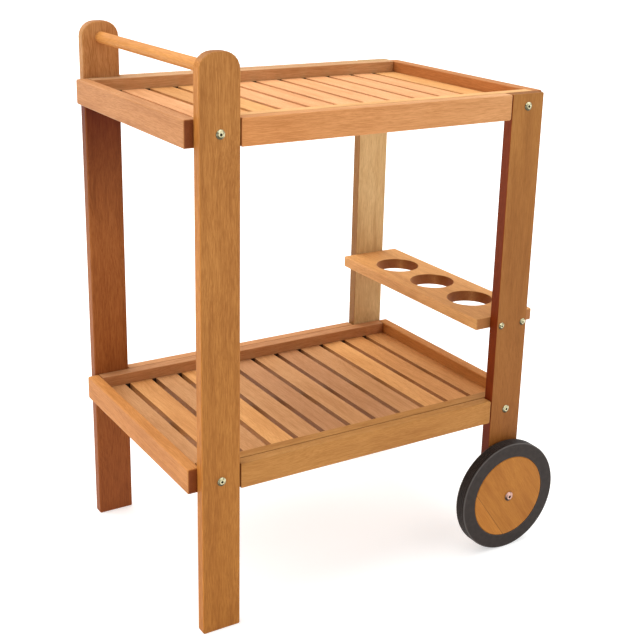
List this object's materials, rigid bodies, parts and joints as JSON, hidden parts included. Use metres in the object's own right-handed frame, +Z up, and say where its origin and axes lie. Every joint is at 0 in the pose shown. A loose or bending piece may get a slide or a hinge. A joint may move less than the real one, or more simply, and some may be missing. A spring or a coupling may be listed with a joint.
{
  "type": "wooden serving trolley",
  "caption": "Slatted wooden serving trolley with an upper and a lower tray, a bottle board with round holes, a bar handle and solid wooden wheels with rubber tyres at one end.",
  "frame": {"origin": "on the floor, in the middle of the overall length and width", "axes": "+X along the trays from the handle end to the wheel end, +Y to the left of the person pushing, +Z up"},
  "size_m": [0.7, 0.5122, 0.9015],
  "materials": {
    "frame_wood": "oiled satin",
    "deck_wood": "oiled satin",
    "bar_wood": "oiled satin",
    "tyre_rubber": "matt",
    "plated_steel": "zinc plated"
  },
  "bodies": {
    "cart": {"axle_bolts": "plated_steel", "axle_nuts": "plated_steel", "axle_washers": "plated_steel", "bottle_holder": "frame_wood", "handle_bar": "bar_wood", "left_handle_leg": "frame_wood", "left_wheel_leg": "frame_wood", "lower_tray_batten": "frame_wood", "lower_tray_handle_end_rail": "frame_wood", "lower_tray_left_inner_rail": "frame_wood", "lower_tray_left_ledger": "frame_wood", "lower_tray_left_outer_rail": "frame_wood", "lower_tray_right_inner_rail": "frame_wood", "lower_tray_right_ledger": "frame_wood", "lower_tray_right_outer_rail": "frame_wood", "lower_tray_slat_1": "deck_wood", "lower_tray_slat_10": "deck_wood", "lower_tray_slat_11": "deck_wood", "lower_tray_slat_12": "deck_wood", "lower_tray_slat_2": "deck_wood", "lower_tray_slat_3": "deck_wood", "lower_tray_slat_4": "deck_wood", "lower_tray_slat_5": "deck_wood", "lower_tray_slat_6": "deck_wood", "lower_tray_slat_7": "deck_wood", "lower_tray_slat_8": "deck_wood", "lower_tray_slat_9": "deck_wood", "lower_tray_wheel_end_rail": "frame_wood", "right_handle_leg": "frame_wood", "right_wheel_leg": "frame_wood", "tray_screws": "plated_steel", "upper_tray_batten": "frame_wood", "upper_tray_handle_end_rail": "frame_wood", "upper_tray_left_inner_rail": "frame_wood", "upper_tray_left_ledger": "frame_wood", "upper_tray_left_outer_rail": "frame_wood", "upper_tray_right_inner_rail": "frame_wood", "upper_tray_right_ledger": "frame_wood", "upper_tray_right_outer_rail": "frame_wood", "upper_tray_slat_1": "deck_wood", "upper_tray_slat_10": "deck_wood", "upper_tray_slat_11": "deck_wood", "upper_tray_slat_12": "deck_wood", "upper_tray_slat_2": "deck_wood", "upper_tray_slat_3": "deck_wood", "upper_tray_slat_4": "deck_wood", "upper_tray_slat_5": "deck_wood", "upper_tray_slat_6": "deck_wood", "upper_tray_slat_7": "deck_wood", "upper_tray_slat_8": "deck_wood", "upper_tray_slat_9": "deck_wood", "upper_tray_wheel_end_rail": "frame_wood"},
    "left_wheel": {"left_tyre": "tyre_rubber", "left_wheel_disc": "frame_wood"},
    "right_wheel": {"right_tyre": "tyre_rubber", "right_wheel_disc": "frame_wood"}
  },
  "joints": [
    {"name": "left_wheel_spin", "type": "hinge", "parent": "cart", "child": "left_wheel", "pos_m": [0.25, 0.2413, 0.1], "axis": [0, 1, 0], "continuous": true},
    {"name": "right_wheel_spin", "type": "hinge", "parent": "cart", "child": "right_wheel", "pos_m": [0.25, -0.2413, 0.1], "axis": [0, 1, 0], "continuous": true}
  ]
}
